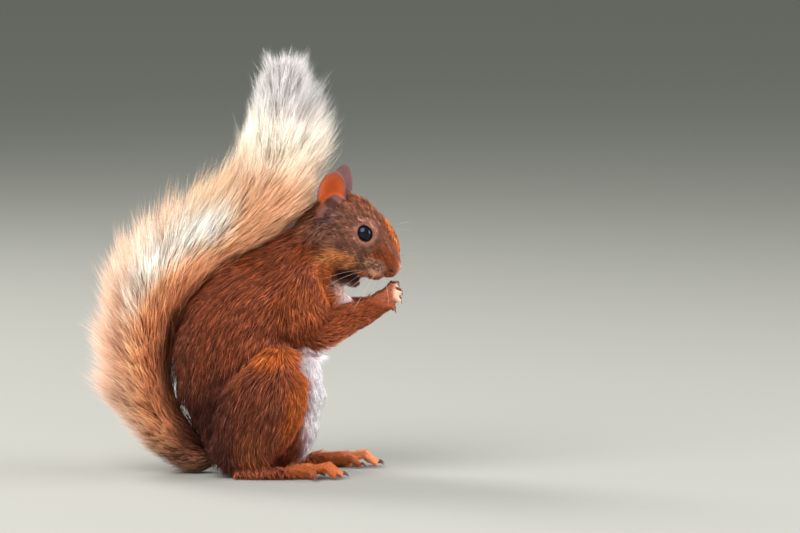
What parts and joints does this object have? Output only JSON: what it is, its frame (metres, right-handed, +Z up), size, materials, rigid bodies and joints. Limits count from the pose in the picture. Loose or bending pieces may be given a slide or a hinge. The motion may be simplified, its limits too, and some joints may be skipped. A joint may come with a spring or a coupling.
{
  "type": "red squirrel model",
  "caption": "Life-size still model of a red squirrel sitting up on its haunches with both hands raised to its mouth and its tail laid up along its back.",
  "frame": {"origin": "on the floor, under the middle of the model's box", "axes": "+Z up, +X the way the animal faces, +Y its left side"},
  "size_m": [0.1564, 0.0914, 0.2156],
  "materials": {
    "red_coat": "dense chestnut-red fur, darkest along the back",
    "head_coat": "short grey-brown fur with orange along the forehead and cheeks",
    "tail_coat": "long loose hair, orange inside and cream at the tips",
    "foot_coat": "very short orange fur with pink toe pads",
    "ear_skin": "thin furred ear, orange inside",
    "eye": "wet black",
    "claw": "dark horn, slightly glossy",
    "tooth": "orange enamel"
  },
  "bodies": {
    "root": {"claw_inner_left": "claw", "claw_inner_right": "claw", "claw_middle_left": "claw", "claw_middle_right": "claw", "claw_outer_left": "claw", "claw_outer_right": "claw", "claw_ring_left": "claw", "claw_ring_right": "claw", "ear_left": "ear_skin", "ear_right": "ear_skin", "eye_left": "eye", "eye_right": "eye", "foot_left": "foot_coat", "foot_right": "foot_coat", "forearm_left": "red_coat", "forearm_right": "red_coat", "hand_left": "foot_coat", "hand_right": "foot_coat", "head": "head_coat", "jaw": "head_coat", "neck": "red_coat", "shank_left": "red_coat", "shank_right": "red_coat", "tail_back": "tail_coat", "tail_bend": "tail_coat", "tail_plume": "tail_coat", "tail_root": "tail_coat", "teeth_lower": "tooth", "teeth_upper": "tooth", "thigh_left": "red_coat", "thigh_right": "red_coat", "toe_claw_fifth_left": "claw", "toe_claw_fifth_right": "claw", "toe_claw_first_left": "claw", "toe_claw_first_right": "claw", "toe_claw_fourth_left": "claw", "toe_claw_fourth_right": "claw", "toe_claw_second_left": "claw", "toe_claw_second_right": "claw", "toe_claw_third_left": "claw", "toe_claw_third_right": "claw", "trunk": "red_coat", "upper_arm_left": "red_coat", "upper_arm_right": "red_coat"}
  },
  "joints": []
}
